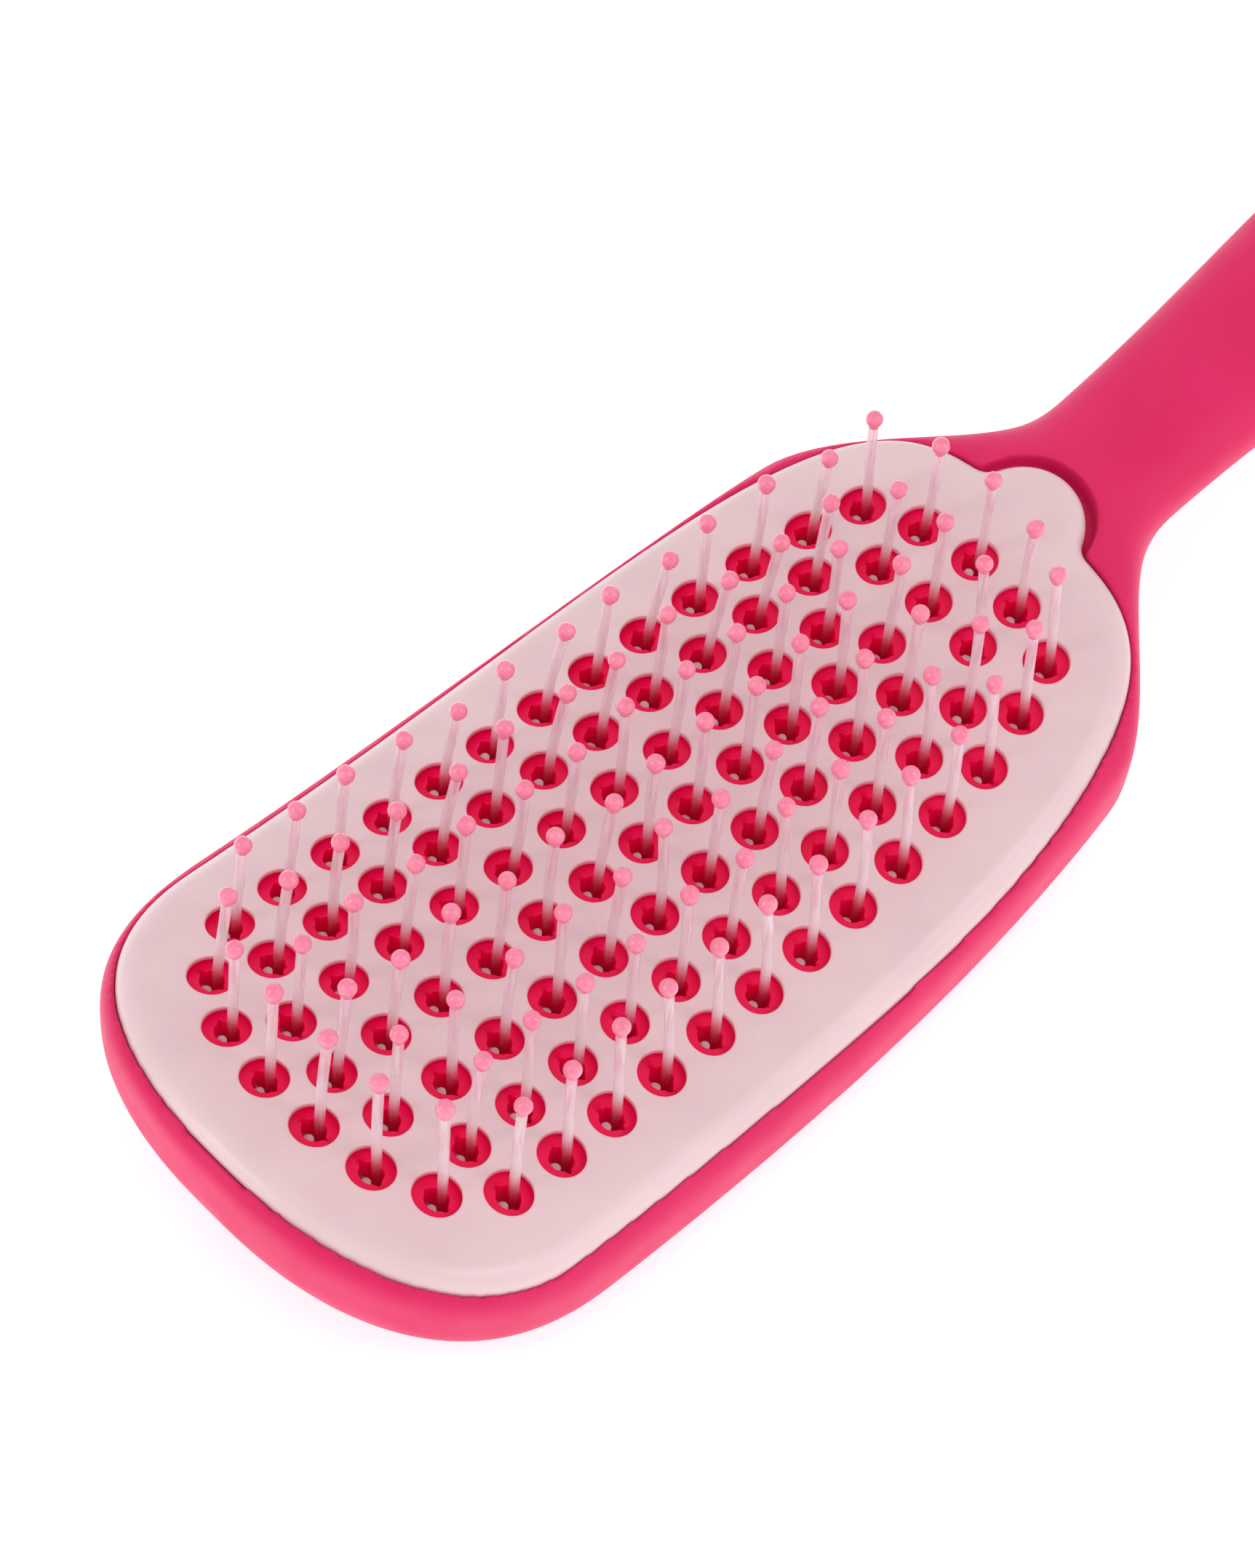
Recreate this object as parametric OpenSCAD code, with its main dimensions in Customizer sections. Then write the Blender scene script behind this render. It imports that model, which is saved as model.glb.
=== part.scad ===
// Self-cleaning paddle brush lying on its back, bristles up.
// X runs from the toe of the head to the end of the handle, Y is the width, Z points up.
// The origin is on the flat of the back, below the middle of the head.

/* [Head] */
// Height of the cleaning plate's top above the flat of the back, at the middle of the head
plate_top = 16; // [14:0.5:20]
// Largest half width of the head
head_half_w = 30.9; // [30.5:0.1:33]
// Distance from the middle of the head to the toe
toe_len = 59.8; // [59.2:0.1:62]
// Lengthwise radius of the hollow bristle side
arch_r = 264; // [220:1:400]
// Crosswise radius of the crowned bristle side
crown_r = 120; // [100:1:200]

/* [Handle] */
// Distance from the middle of the head to the end of the handle
handle_end_x = 178; // [165:1:200]
// Half width of the neck at its slimmest
neck_half_w = 8.9; // [7.5:0.1:10]
// Half width of the grip at its widest
grip_half_w = 12.2; // [10:0.1:14]
// Diameter of the hanging hole
hang_d = 6; // [4:0.5:8]

/* [Cleaning plate] */
// Thickness of the plate's sheet
plate_t = 0.8; // [0.6:0.1:0.9]
// Half width of the plate
plate_half_w = 29.2; // [29:0.05:29.5]
// Depth of the rim below the plate's top
rim_depth = 2.6; // [2:0.1:3]
// Diameter of each bristle hole
hole_d = 5; // [4:0.1:5.2]
// Radius of the finger tab
tab_r = 7.1; // [5:0.1:7.5]

/* [Bristles] */
// Diameter of the nylon filament
filament_d = 1.1; // [0.8:0.05:1.15]
// Diameter of the ball tip
ball_d = 1.9; // [1.5:0.1:2.4]
// Height of the ball's middle above the plate's top
ball_h = 14.3; // [10:0.1:18]
// Distance between holes along the outer rows
pitch = 7.07; // [7:0.01:7.2]

/* [Hidden] */
$fn = 64;
ROWS = ["toe_arc", "middle", "left_inner", "right_inner", "left_second", "right_second",
        "left_outer", "right_outer", "heel_pair"];

// Colours
deep_pink = [0.90, 0.24, 0.42];
crimson = [0.78, 0.05, 0.25];
pale_pink = [0.91, 0.79, 0.81];
clear_pink = [0.93, 0.80, 0.85];
ball_pink = [0.99, 0.52, 0.65];
steel_grey = [0.70, 0.70, 0.72];

// Levels, measured down from the saddle that is the plate's top
bed_drop = plate_t + 0.4;
bed_t = 5.8;
pocket_drop = rim_depth + 0.4;
body_gap = 0.3;
bed_inset = 1.8;
rim_t = 1.0;
// Higher than anything on the brush, for cuts that run right through
through = 60;
// The saddle layers are swept through this angle, and are this wide to each side
saddle_sweep = 34;
saddle_reach = 36;

// Outline of the plate: a blunt toe, a straight stretch and a long rounded tail
toe_mid_x = -35.5;
tail_mid_x = -29.5;
plate_toe_a = 22.7;
plate_tail_a = 86.8;
toe_power = 2.35;
tail_power = 3.9;
tab_x = 55.2;
tab_fillet_r = 2.4;
outline_steps = 20;
arc_steps = 8;
fillet_bite = 0.15;
tail_overlap = 0.4;

// Outline of the body
body_toe_mid_x = -33;
body_toe_a = toe_len + body_toe_mid_x;
body_toe_power = 2.45;
taper = 2.9;
taper_len = 66;
neck_from_x = 43.5;
neck_to_x = 70.5;
grip_from_x = 70;
grip_to_x = 128;
end_round = 13;

// Heights of the body
mid_drop = 6.8;
neck_top_h = 5.2;
head_top_h = 8.5;
neck_mid_z = plate_top + 1.6;
handle_arch = 4.9;
handle_arch_x = 66;
handle_arch_len = 112;
belly_z = -0.4;
belly_toe_x = -20;
belly_toe_r = 115;
neck_bottom_h = 5.7;
grip_extra_h = 1.4;
edge_power = 4;
belly_power = 3.1;
handle_power = 2.3;
ring_points = 40;
// Where the head's shape starts to turn into the handle's, and where it has done so
spine_turn = [42, 68];
top_turn = [36, 66];
belly_turn = [38, 72];
section_turn = [40, 68];
grip_swell = [80, 125];

// Well drilled for each tuft, and the anchor that lies across it under the filament's bend
leg_x = 0.72;
well_d = 2.6;
well_depth = 5;
well_over = 5;
slot_t = 0.34;
slot_w = 3.4;
anchor_h = 1.1;
stub_drop = 0.9;
// How far below the ball's middle the filament ends inside it
ball_grip = 0.85;
// Level of the two legs' lower ends, where the bend starts
bend_z = -bed_drop - well_depth + leg_x + filament_d / 2;

// Scoop in the body that lets a finger under the tab
scoop_r = 8.5;
scoop_drop = 2.2;

// Back cover
cover_mid_x = 8;
cover_half_l = 29;
cover_half_w = 17;
cover_t = 2;
cover_lip = 2;
web_t = 2;
hang_x = handle_end_x - 12;

function clamp01(t) = max(0, min(1, t));
function ease(x, turn) = (1 - cos(180 * clamp01((x - turn[0]) / (turn[1] - turn[0])))) / 2;
function mix(a, b, t) = a + (b - a) * t;
function closing(t, p) = pow(max(0, 1 - pow(clamp01(t), p)), 1 / p);
function signed_pow(v, p) = sign(v) * pow(abs(v), p);
function saddle(x, y) = plate_top + x * x / (2 * arch_r) - y * y / (2 * crown_r);

// Half width of the plate at x, with the whole outline drawn in by inset
function plate_w(x, inset = 0) = (plate_half_w - inset)
    * (x < toe_mid_x ? closing((toe_mid_x - x) / (plate_toe_a - inset), toe_power)
                     : closing((x - tail_mid_x) / (plate_tail_a - inset), tail_power));

// Half width of the body at x
function head_w(x) = head_half_w * closing((body_toe_mid_x - x) / body_toe_a, body_toe_power)
    - taper * pow(max(0, x - tail_mid_x) / taper_len, 3);
function grip_w(x) = mix(neck_half_w, grip_half_w, ease(x, [grip_from_x, grip_to_x]))
    * closing((x - handle_end_x + end_round) / end_round, 2);
function body_w(x) = x < neck_from_x ? head_w(x)
    : x > neck_to_x ? grip_w(x)
    : mix(head_w(x), neck_half_w, ease(x, [neck_from_x, neck_to_x]));

// Height of the body's widest line, and how far it reaches above and below it
function handle_z(x) = neck_mid_z + handle_arch * sin(180 * clamp01((x - handle_arch_x) / handle_arch_len));
function spine_z(x) = mix(plate_top - mid_drop + x * x / (2 * arch_r), handle_z(x), ease(x, spine_turn));
function mid_z(x) = spine_z(x) - pow(body_w(x), 2) / (2 * crown_r);
function end_close(x) = closing((body_toe_mid_x - x) / body_toe_a, edge_power)
    * closing((x - handle_end_x + end_round) / end_round, handle_power);
function grip_h(x) = grip_extra_h * ease(x, grip_swell);
function top_h(x) = (mix(head_top_h, neck_top_h, ease(x, top_turn)) + grip_h(x)) * end_close(x);
function belly(x) = belly_z + (x < belly_toe_x ? pow(x - belly_toe_x, 2) / (2 * belly_toe_r) : 0);
function bottom_h(x) = (mix(mid_z(x) - belly(x), neck_bottom_h, ease(x, belly_turn)) + grip_h(x))
    * end_close(x);
function section_power(x, head_power) = mix(head_power, handle_power, ease(x, section_turn));

// One closed ring of the body at x
function body_ring(x) = [for (i = [0:ring_points - 1])
    let (a = 360 * i / ring_points,
         above = sin(a) > 0,
         e = 2 / section_power(x, above ? edge_power : belly_power),
         reach = above ? top_h(x) : bottom_h(x))
    [x, body_w(x) * signed_pow(cos(a), e), mid_z(x) + reach * signed_pow(sin(a), e)]];

// Stations along the body, closer together where it turns quickly
stations = concat([for (a = [82:-8:2]) body_toe_mid_x - body_toe_a * sin(a)],
                  [for (x = [-31:8:41]) x], [for (x = [43:3:73]) x], [for (x = [79:8:159]) x],
                  [for (a = [8:9:80]) handle_end_x - end_round + end_round * sin(a)]);

module body_blank() {
    last = len(stations) - 1;
    tips = [[-toe_len, 0, mid_z(-toe_len)], [handle_end_x, 0, mid_z(handle_end_x)]];
    points = concat([for (x = stations) each body_ring(x)], tips);
    toe = len(points) - 2;
    skin = [for (s = [0:last - 1], i = [0:ring_points - 1])
        let (j = (i + 1) % ring_points, a = s * ring_points, b = a + ring_points)
        each [[a + i, b + i, b + j], [a + i, b + j, a + j]]];
    caps = [for (i = [0:ring_points - 1])
        let (j = (i + 1) % ring_points)
        each [[toe, i, j], [toe + 1, last * ring_points + j, last * ring_points + i]]];
    polyhedron(points, concat(skin, caps));
}

// A layer of the saddle between two depths below the plate's top
module saddle_layer(from_drop, to_drop) {
    translate([0, 0, plate_top + arch_r])
        rotate([90, 0, 0])
            rotate([0, 0, -90 - saddle_sweep / 2])
                rotate_extrude(angle = saddle_sweep, $fn = 360)
                    intersection() {
                        translate([arch_r + crown_r, 0])
                            difference() {
                                circle(crown_r - from_drop, $fn = 360);
                                circle(crown_r - to_drop, $fn = 360);
                            }
                        translate([arch_r - saddle_reach / 2, -saddle_reach])
                            square([saddle_reach, 2 * saddle_reach]);
                    }
}

// Edge of the plate from the toe round one side, ending where the curve has closed to half width stop_w
function toe_edge(inset) = [for (i = [0:outline_steps])
    let (x = toe_mid_x - (plate_toe_a - inset) * cos(90 * i / outline_steps)) [x, plate_w(x, inset)]];
function tail_edge(inset, stop_w) = [for (i = [0:outline_steps])
    let (x = tail_mid_x + (plate_tail_a - inset) * sqrt(sin(90 * i / outline_steps)))
    if (plate_w(x, inset) > stop_w) [x, plate_w(x, inset)]];
function arc(cx, cy, r, from_a, to_a) = [for (i = [0:arc_steps])
    let (a = mix(from_a, to_a, i / arc_steps)) [cx + r * cos(a), cy + r * sin(a)]];
function mirrored(edge) = concat(edge, [for (i = [len(edge) - 1:-1:0])
    if (edge[i][1] > 0.001) [edge[i][0], -edge[i][1]]]);

// Plate outline without its tab, drawn in by inset
module head_outline(inset = 0)
    polygon(mirrored(concat(toe_edge(inset), tail_edge(inset, -1))));

// Plate outline with the round finger tab and the small hollows beside it
module plate_outline(inset = 0) {
    fillet_r = tab_fillet_r + inset;
    lobe_r = tab_r - inset;
    fillet_x = tail_mid_x + plate_tail_a - inset + fillet_r - fillet_bite;
    fillet_y = sqrt(pow(lobe_r + fillet_r, 2) - pow(fillet_x - tab_x, 2));
    turn = atan2(fillet_y, fillet_x - tab_x);
    polygon(mirrored(concat(toe_edge(inset), tail_edge(inset, fillet_y + tail_overlap),
                            arc(fillet_x, fillet_y, fillet_r, 180, 180 + turn),
                            arc(tab_x, 0, lobe_r, turn, 0))));
}

// Hole centres: the outer rows follow the plate's edge and all rows draw together slowly towards the handle
row_half_w = 20.55;
row_toe_a = 13.9;
row_tail_a = 78.2;
row_tail_power = 4.25;
narrowing = 0.021;
narrow_to_x = 20;
second_share = 0.69;
inner_share = 0.365;
function row_w(x) = row_half_w * (x < toe_mid_x ? closing((toe_mid_x - x) / row_toe_a, toe_power)
                                                : closing((x - tail_mid_x) / row_tail_a, row_tail_power));
function row_y(x, share) = share * row_w(x) - narrowing * (min(x, narrow_to_x) - toe_mid_x);
function even(from_x, count, step, shrink = 0) = [for (i = [0:count - 1]) from_x + step * i - shrink * i * i];
outer_x = even(-38.5, 12, pitch);
second_x = even(-38.4, 11, pitch + 0.3);
inner_x = even(-42.2, 11, pitch + 0.3);
middle_x = even(-43.2, 14, pitch + 0.13, 0.012);
inner_heel = [[41.1, 6.9], [47.5, 7]];
toe_pairs = [[-48.8, 3.6], [-47.6, 10.5], [-44.4, 16.4]];
heel_pair = [45.3, 13.5];

// Points along one side's row: the same row on the other side has side = -1
function side_row(xs, share, side) = [for (x = xs) [x, side * row_y(x, share)]];
function inner_row(side) = concat(side_row(inner_x, inner_share, side),
                                  [for (p = inner_heel) [p[0], side * p[1]]]);
function both_sides(points) = [for (p = points, side = [1, -1]) [p[0], side * p[1]]];

function row_points(name) =
    name == "toe_arc" ? both_sides(toe_pairs)
    : name == "middle" ? [for (x = middle_x) [x, 0]]
    : name == "left_inner" ? inner_row(1)
    : name == "right_inner" ? inner_row(-1)
    : name == "left_second" ? side_row(second_x, second_share, 1)
    : name == "right_second" ? side_row(second_x, second_share, -1)
    : name == "left_outer" ? side_row(outer_x, 1, 1)
    : name == "right_outer" ? side_row(outer_x, 1, -1)
    : both_sides([heel_pair]);

module at_row(name)
    for (p = row_points(name))
        translate([p[0], p[1], saddle(p[0], p[1])])
            children();

module at_all_holes()
    for (name = ROWS)
        at_row(name)
            children();

// Space in the head for the plate's rim and, deeper, for the bristle bed
module head_pocket() {
    intersection() {
        linear_extrude(through)
            plate_outline(-body_gap);
        saddle_layer(-14, pocket_drop);
    }
    intersection() {
        linear_extrude(through)
            head_outline(bed_inset);
        saddle_layer(0, bed_drop + bed_t);
    }
}

module cover_outline(inset = 0) {
    half_l = cover_half_l - inset;
    half_w = cover_half_w - inset;
    polygon([for (a = [0:6:354])
        [cover_mid_x + half_l * signed_pow(cos(a), 1 / 2), half_w * signed_pow(sin(a), 1 / 2)]]);
}

// Everything below the flat of the back, or below z inside an outline
module below(z)
    translate([0, 0, -through])
        linear_extrude(through + z)
            children();

// Head, neck and handle in one moulding, cored out from the back
module body() {
    color(deep_pink)
        difference() {
            body_blank();
            head_pocket();
            below(0)
                square([3 * handle_end_x, 4 * head_half_w], center = true);
            below(cover_t)
                cover_outline();
            intersection() {
                linear_extrude(through)
                    cover_outline(cover_lip);
                saddle_layer(bed_drop + bed_t + web_t, saddle_reach);
            }
            translate([tab_x, 0, saddle(tab_x, 0) - scoop_drop])
                cylinder(r = scoop_r, h = through);
            translate([hang_x, 0, 0])
                cylinder(d = hang_d, h = through);
        }
}

// Slot across the well's foot that the anchor is driven into, as high as asked
module anchor_slot(height)
    translate([-slot_t / 2, -slot_w / 2, bend_z])
        cube([slot_t, slot_w, height]);

module tuft_well() {
    translate([0, 0, -bed_drop - well_depth])
        cylinder(d = well_d, h = well_depth + well_over);
    anchor_slot(well_depth + well_over);
}

module bristle_bed() {
    color(crimson)
        difference() {
            intersection() {
                linear_extrude(through)
                    head_outline(bed_inset);
                saddle_layer(bed_drop, bed_drop + bed_t);
            }
            at_all_holes()
                tuft_well();
        }
}

module back_cover() {
    color(deep_pink)
        linear_extrude(cover_t)
            cover_outline();
}

module cleaning_plate() {
    color(pale_pink)
        difference() {
            intersection() {
                linear_extrude(through)
                    plate_outline();
                saddle_layer(0, rim_depth);
            }
            intersection() {
                linear_extrude(through)
                    plate_outline(rim_t);
                saddle_layer(plate_t, rim_depth + 3);
            }
            at_all_holes()
                cylinder(d = hole_d, h = 4 * rim_depth, center = true);
        }
}

// One filament folded round its anchor: a long leg, a cut stub and the bend
module filament() {
    translate([leg_x, 0, bend_z])
        cylinder(d = filament_d, h = ball_h - ball_grip - bend_z);
    translate([-leg_x, 0, bend_z])
        cylinder(d = filament_d, h = -bed_drop - stub_drop - bend_z);
    translate([0, 0, bend_z])
        rotate([90, 0, 0])
            rotate([0, 0, 180])
                rotate_extrude(angle = 180)
                    translate([leg_x, 0])
                        circle(d = filament_d);
}

module filaments(name)
    color(clear_pink)
        at_row(name)
            filament();

module ball_tips(name)
    color(ball_pink)
        at_row(name)
            translate([leg_x, 0, ball_h])
                difference() {
                    sphere(d = ball_d);
                    translate([0, 0, -ball_d])
                        cylinder(d = filament_d, h = ball_d - ball_grip);
                }

module anchors(name)
    color(steel_grey)
        at_row(name)
            anchor_slot(anchor_h);

body();
bristle_bed();
back_cover();
cleaning_plate();
for (name = ROWS) {
    filaments(name);
    ball_tips(name);
    anchors(name);
}
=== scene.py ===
import math
import random
from operator import itemgetter

import bmesh
import bpy
import numpy as np
from mathutils import Matrix, Vector
from mathutils.geometry import delaunay_2d_cdt


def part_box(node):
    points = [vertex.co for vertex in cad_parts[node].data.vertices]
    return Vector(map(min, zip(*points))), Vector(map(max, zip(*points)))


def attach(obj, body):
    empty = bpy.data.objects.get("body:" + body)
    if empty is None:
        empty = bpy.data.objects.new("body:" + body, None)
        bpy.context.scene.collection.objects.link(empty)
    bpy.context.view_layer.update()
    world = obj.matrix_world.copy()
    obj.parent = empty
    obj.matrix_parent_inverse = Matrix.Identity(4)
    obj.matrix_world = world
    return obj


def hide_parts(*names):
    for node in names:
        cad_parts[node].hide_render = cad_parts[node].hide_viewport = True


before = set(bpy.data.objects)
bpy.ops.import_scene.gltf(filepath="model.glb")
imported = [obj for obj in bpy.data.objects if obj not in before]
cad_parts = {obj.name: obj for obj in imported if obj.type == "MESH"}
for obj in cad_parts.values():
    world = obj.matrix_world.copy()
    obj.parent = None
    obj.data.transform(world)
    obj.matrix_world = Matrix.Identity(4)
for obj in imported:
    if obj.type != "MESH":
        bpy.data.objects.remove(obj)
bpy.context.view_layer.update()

MM = 0.001

# ---------------------------------------------------------------- sizes, from the frame
ROWS = [name[len("ball_tips_"):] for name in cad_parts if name.startswith("ball_tips_")]
PLATE_LOW, PLATE_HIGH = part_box("cleaning_plate")
BODY_LOW, BODY_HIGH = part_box("body")
COVER_LOW, COVER_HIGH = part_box("back_cover")
PLATE_HALF_W = PLATE_HIGH.y
HEAD_HALF_W = BODY_HIGH.y
TOE_LEN = -BODY_LOW.x
HANDLE_END = BODY_HIGH.x
COVER_HALF_L = (COVER_HIGH.x - COVER_LOW.x) / 2
COVER_MID_X = (COVER_HIGH.x + COVER_LOW.x) / 2
COVER_HALF_W = COVER_HIGH.y
COVER_T = COVER_HIGH.z

# Sizes of the part's source, repeated here in metres
PLATE_TOP = 16 * MM
ARCH_R = 264 * MM
CROWN_R = 120 * MM
PLATE_T = 0.8 * MM
RIM_DEPTH = 2.6 * MM
RIM_T = 1.0 * MM
TOE_MID_X = -35.5 * MM
TAIL_MID_X = -29.5 * MM
PLATE_TOE_A = TOE_MID_X - PLATE_LOW.x
PLATE_TAIL_A = 86.8 * MM
TOE_POWER = 2.35
TAIL_POWER = 3.9
TAB_X = 55.2 * MM
TAB_R = PLATE_HIGH.x - TAB_X
TAB_FILLET_R = 2.4 * MM
FILLET_BITE = 0.15 * MM
TAIL_OVERLAP = 0.4 * MM
HOLE_R = 2.5 * MM
BED_DROP = PLATE_T + 0.4 * MM
BED_T = 5.8 * MM
BED_INSET = 1.8 * MM
SCOOP_DROP = 2.2 * MM
FILAMENT_R = 0.55 * MM
LEG_X = 0.72 * MM
WELL_R = 1.3 * MM
WELL_DEPTH = 5 * MM
STUB_DROP = 0.9 * MM
BEND_DROP = BED_DROP + WELL_DEPTH - LEG_X - FILAMENT_R
BALL_R = 0.95 * MM
BALL_H = 14.3 * MM
BODY_TOE_MID_X = -33 * MM
BODY_TOE_A = TOE_LEN + BODY_TOE_MID_X
BODY_TOE_POWER = 2.45
TAPER = 2.9 * MM
TAPER_LEN = 66 * MM
NECK_FROM_X = 43.5 * MM
NECK_TO_X = 70.5 * MM
NECK_HALF_W = 8.9 * MM
GRIP_HALF_W = 12.2 * MM
GRIP_WIDENS = (70 * MM, 128 * MM)
END_ROUND = 13 * MM
MID_DROP = 6.8 * MM
HEAD_TOP_H = 8.5 * MM
NECK_TOP_H = 5.2 * MM
NECK_BOTTOM_H = 5.7 * MM
NECK_MID_Z = PLATE_TOP + 1.6 * MM
HANDLE_ARCH = 4.9 * MM
ARCH_FROM_X = 66 * MM
ARCH_RUN = 112 * MM
GRIP_EXTRA_H = 1.4 * MM
GRIP_SWELL = (80 * MM, 125 * MM)
SPINE_TURN = (42 * MM, 68 * MM)
TOP_TURN = (36 * MM, 66 * MM)
BELLY_TURN = (38 * MM, 72 * MM)
SECTION_TURN = (40 * MM, 68 * MM)
BELLY_Z = -0.4 * MM
BELLY_FLAT_TO_X = -20 * MM
BELLY_CURL_R = 115 * MM
EDGE_POWER = 4.0
BELLY_POWER = 3.1
HANDLE_POWER = 2.3
HANG_R = 3 * MM
HANG_X = HANDLE_END - 12 * MM

# Fits round the plate, drawn tighter here than in the part's source so that its seams read as fine lines
POCKET_DROP = RIM_DEPTH + 0.3 * MM
BODY_GAP = 0.05 * MM
SCOOP_X = TAB_X + 0.9 * MM
SCOOP_R = 7.7 * MM

# Sizes that only this script needs
LEAN_IN_X = 0.016
LEAN_IN_Y = 0.054
WELL_MOUTH_R = 2.25 * MM
MESH_STEP = 1.2 * MM
CUT_TOP = 60 * MM
COVER_SLOT = 0.12 * MM
COVER_PLAY = 0.05 * MM
BED_PLAY = 0.1 * MM
FLOOR_Z = -0.05 * MM
LAMP_AWAY = 0.9


# ---------------------------------------------------------------- curves
def closing(t, power):
    """Falls from 1 at t = 0 to 0 at t = 1 along a superellipse."""
    return np.maximum(0, 1 - np.clip(t, 0, 1) ** power) ** (1 / power)


def ease(x, start, end):
    """Rises smoothly from 0 at start to 1 at end."""
    return (1 - np.cos(math.pi * np.clip((x - start) / (end - start), 0, 1))) / 2


def mix(a, b, t):
    """The value a share t of the way from a to b."""
    return a + (b - a) * t


def signed_pow(v, power):
    """A power that keeps the sign of its base."""
    return np.sign(v) * np.abs(v) ** power


def saddle(x, y):
    """Height of the cleaning plate's top: hollow along the brush, crowned across it."""
    return PLATE_TOP + x * x / (2 * ARCH_R) - y * y / (2 * CROWN_R)


def plate_w(x, inset=0.0):
    """Half width of the cleaning plate."""
    toe = closing((TOE_MID_X - x) / (PLATE_TOE_A - inset), TOE_POWER)
    tail = closing((x - TAIL_MID_X) / (PLATE_TAIL_A - inset), TAIL_POWER)
    return (PLATE_HALF_W - inset) * np.where(x < TOE_MID_X, toe, tail)


def body_w(x):
    """Half width of the body: head, neck and grip."""
    toe = closing((BODY_TOE_MID_X - x) / BODY_TOE_A, BODY_TOE_POWER)
    head = HEAD_HALF_W * toe - TAPER * (np.maximum(0, x - TAIL_MID_X) / TAPER_LEN) ** 3
    grip = mix(NECK_HALF_W, GRIP_HALF_W, ease(x, *GRIP_WIDENS)) * closing(
        (x - HANDLE_END + END_ROUND) / END_ROUND, 2)
    blend = mix(head, NECK_HALF_W, ease(x, NECK_FROM_X, NECK_TO_X))
    return np.where(x < NECK_FROM_X, head, np.where(x > NECK_TO_X, grip, blend))


def mid_z(x):
    """Height of the body's widest line."""
    along = np.clip((x - ARCH_FROM_X) / ARCH_RUN, 0, 1)
    handle = NECK_MID_Z + HANDLE_ARCH * np.sin(math.pi * along)
    head = PLATE_TOP - MID_DROP + x * x / (2 * ARCH_R)
    return mix(head, handle, ease(x, *SPINE_TURN)) - body_w(x) ** 2 / (2 * CROWN_R)


def body_heights(x):
    """How far the body reaches above and below its widest line."""
    closed = closing((BODY_TOE_MID_X - x) / BODY_TOE_A, EDGE_POWER) * closing(
        (x - HANDLE_END + END_ROUND) / END_ROUND, HANDLE_POWER)
    grip = GRIP_EXTRA_H * ease(x, *GRIP_SWELL)
    top = mix(HEAD_TOP_H, NECK_TOP_H, ease(x, *TOP_TURN)) + grip
    belly = BELLY_Z + np.minimum(0, x - BELLY_FLAT_TO_X) ** 2 / (2 * BELLY_CURL_R)
    bottom = mix(mid_z(x) - belly, NECK_BOTTOM_H, ease(x, *BELLY_TURN)) + grip
    return top * closed, bottom * closed


# ---------------------------------------------------------------- outlines, as arrays of plan points
def half_head_edge(inset, stop_w):
    """One side of the plate's edge, toe to tail, as far as the half width stop_w."""
    a = np.linspace(0, math.pi / 2, 90)
    toe_x = TOE_MID_X - (PLATE_TOE_A - inset) * np.cos(a)
    tail_x = TAIL_MID_X + (PLATE_TAIL_A - inset) * np.sqrt(np.sin(a))
    toe = np.stack([toe_x, plate_w(toe_x, inset)], 1)
    tail = np.stack([tail_x, plate_w(tail_x, inset)], 1)
    return np.concatenate([toe, tail[tail[:, 1] > stop_w]])


def arc(centre, radius, start, stop, count):
    """Points along part of a circle, both ends included."""
    a = np.linspace(start, stop, count)
    return np.stack([centre[0] + radius * np.cos(a), centre[1] + radius * np.sin(a)], 1)


def circle(centre, radius, count):
    return arc(centre, radius, 0, 2 * math.pi * (1 - 1 / count), count)


def mirrored(edge):
    """The closed outline made of an edge and its mirror image across the brush's middle line."""
    back = edge[::-1] * [1, -1]
    return np.concatenate([edge, back[back[:, 1] < -1e-6]])


def evenly(outline, spacing):
    """The same closed outline with its points a constant distance apart."""
    loop = np.concatenate([outline, outline[:1]])
    run = np.concatenate([[0], np.cumsum(np.linalg.norm(np.diff(loop, axis=0), axis=1))])
    at = np.linspace(0, run[-1], int(run[-1] / spacing), endpoint=False)
    return np.stack([np.interp(at, run, loop[:, 0]), np.interp(at, run, loop[:, 1])], 1)


def head_outline(inset=0.0):
    """The plate's outline without its finger tab."""
    return mirrored(half_head_edge(inset, -1))


def plate_outline(inset=0.0):
    """The plate's outline, with the round finger tab and the small hollow each side of it."""
    fillet_r = TAB_FILLET_R + inset
    lobe_r = TAB_R - inset
    fillet_x = TAIL_MID_X + PLATE_TAIL_A - inset + fillet_r - FILLET_BITE
    fillet_y = math.sqrt((lobe_r + fillet_r) ** 2 - (fillet_x - TAB_X) ** 2)
    turn = math.atan2(fillet_y, fillet_x - TAB_X)
    return mirrored(np.concatenate([
        half_head_edge(inset, fillet_y + TAIL_OVERLAP),
        arc((fillet_x, fillet_y), fillet_r, math.pi, math.pi + turn, 16),
        arc((TAB_X, 0), lobe_r, turn, 0, 24)[1:]]))


def cover_outline(grow=0.0):
    """The back cover's outline: a superellipse."""
    a = np.linspace(0, 2 * math.pi, 180, endpoint=False)
    return np.stack([COVER_MID_X + (COVER_HALF_L + grow) * signed_pow(np.cos(a), 0.5),
                     (COVER_HALF_W + grow) * signed_pow(np.sin(a), 0.5)], 1)


def eased_edge(width, height, steps):
    """A quarter of an ellipse from flat to upright, as distances in from the edge and down from the top."""
    return [(width * (1 - math.sin(a)), height * (1 - math.cos(a)))
            for a in np.linspace(0, math.pi / 2, steps)]


def inwards(outline, distance):
    """The outline moved in along its own normals; its points keep their order."""
    along = np.roll(outline, -1, 0) - np.roll(outline, 1, 0)
    along /= np.linalg.norm(along, axis=1)[:, None]
    turn = np.cross(outline - outline.mean(0), along).mean()
    inward = np.stack([-along[:, 1], along[:, 0]], 1) * np.sign(turn)
    return outline + inward * distance


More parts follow.
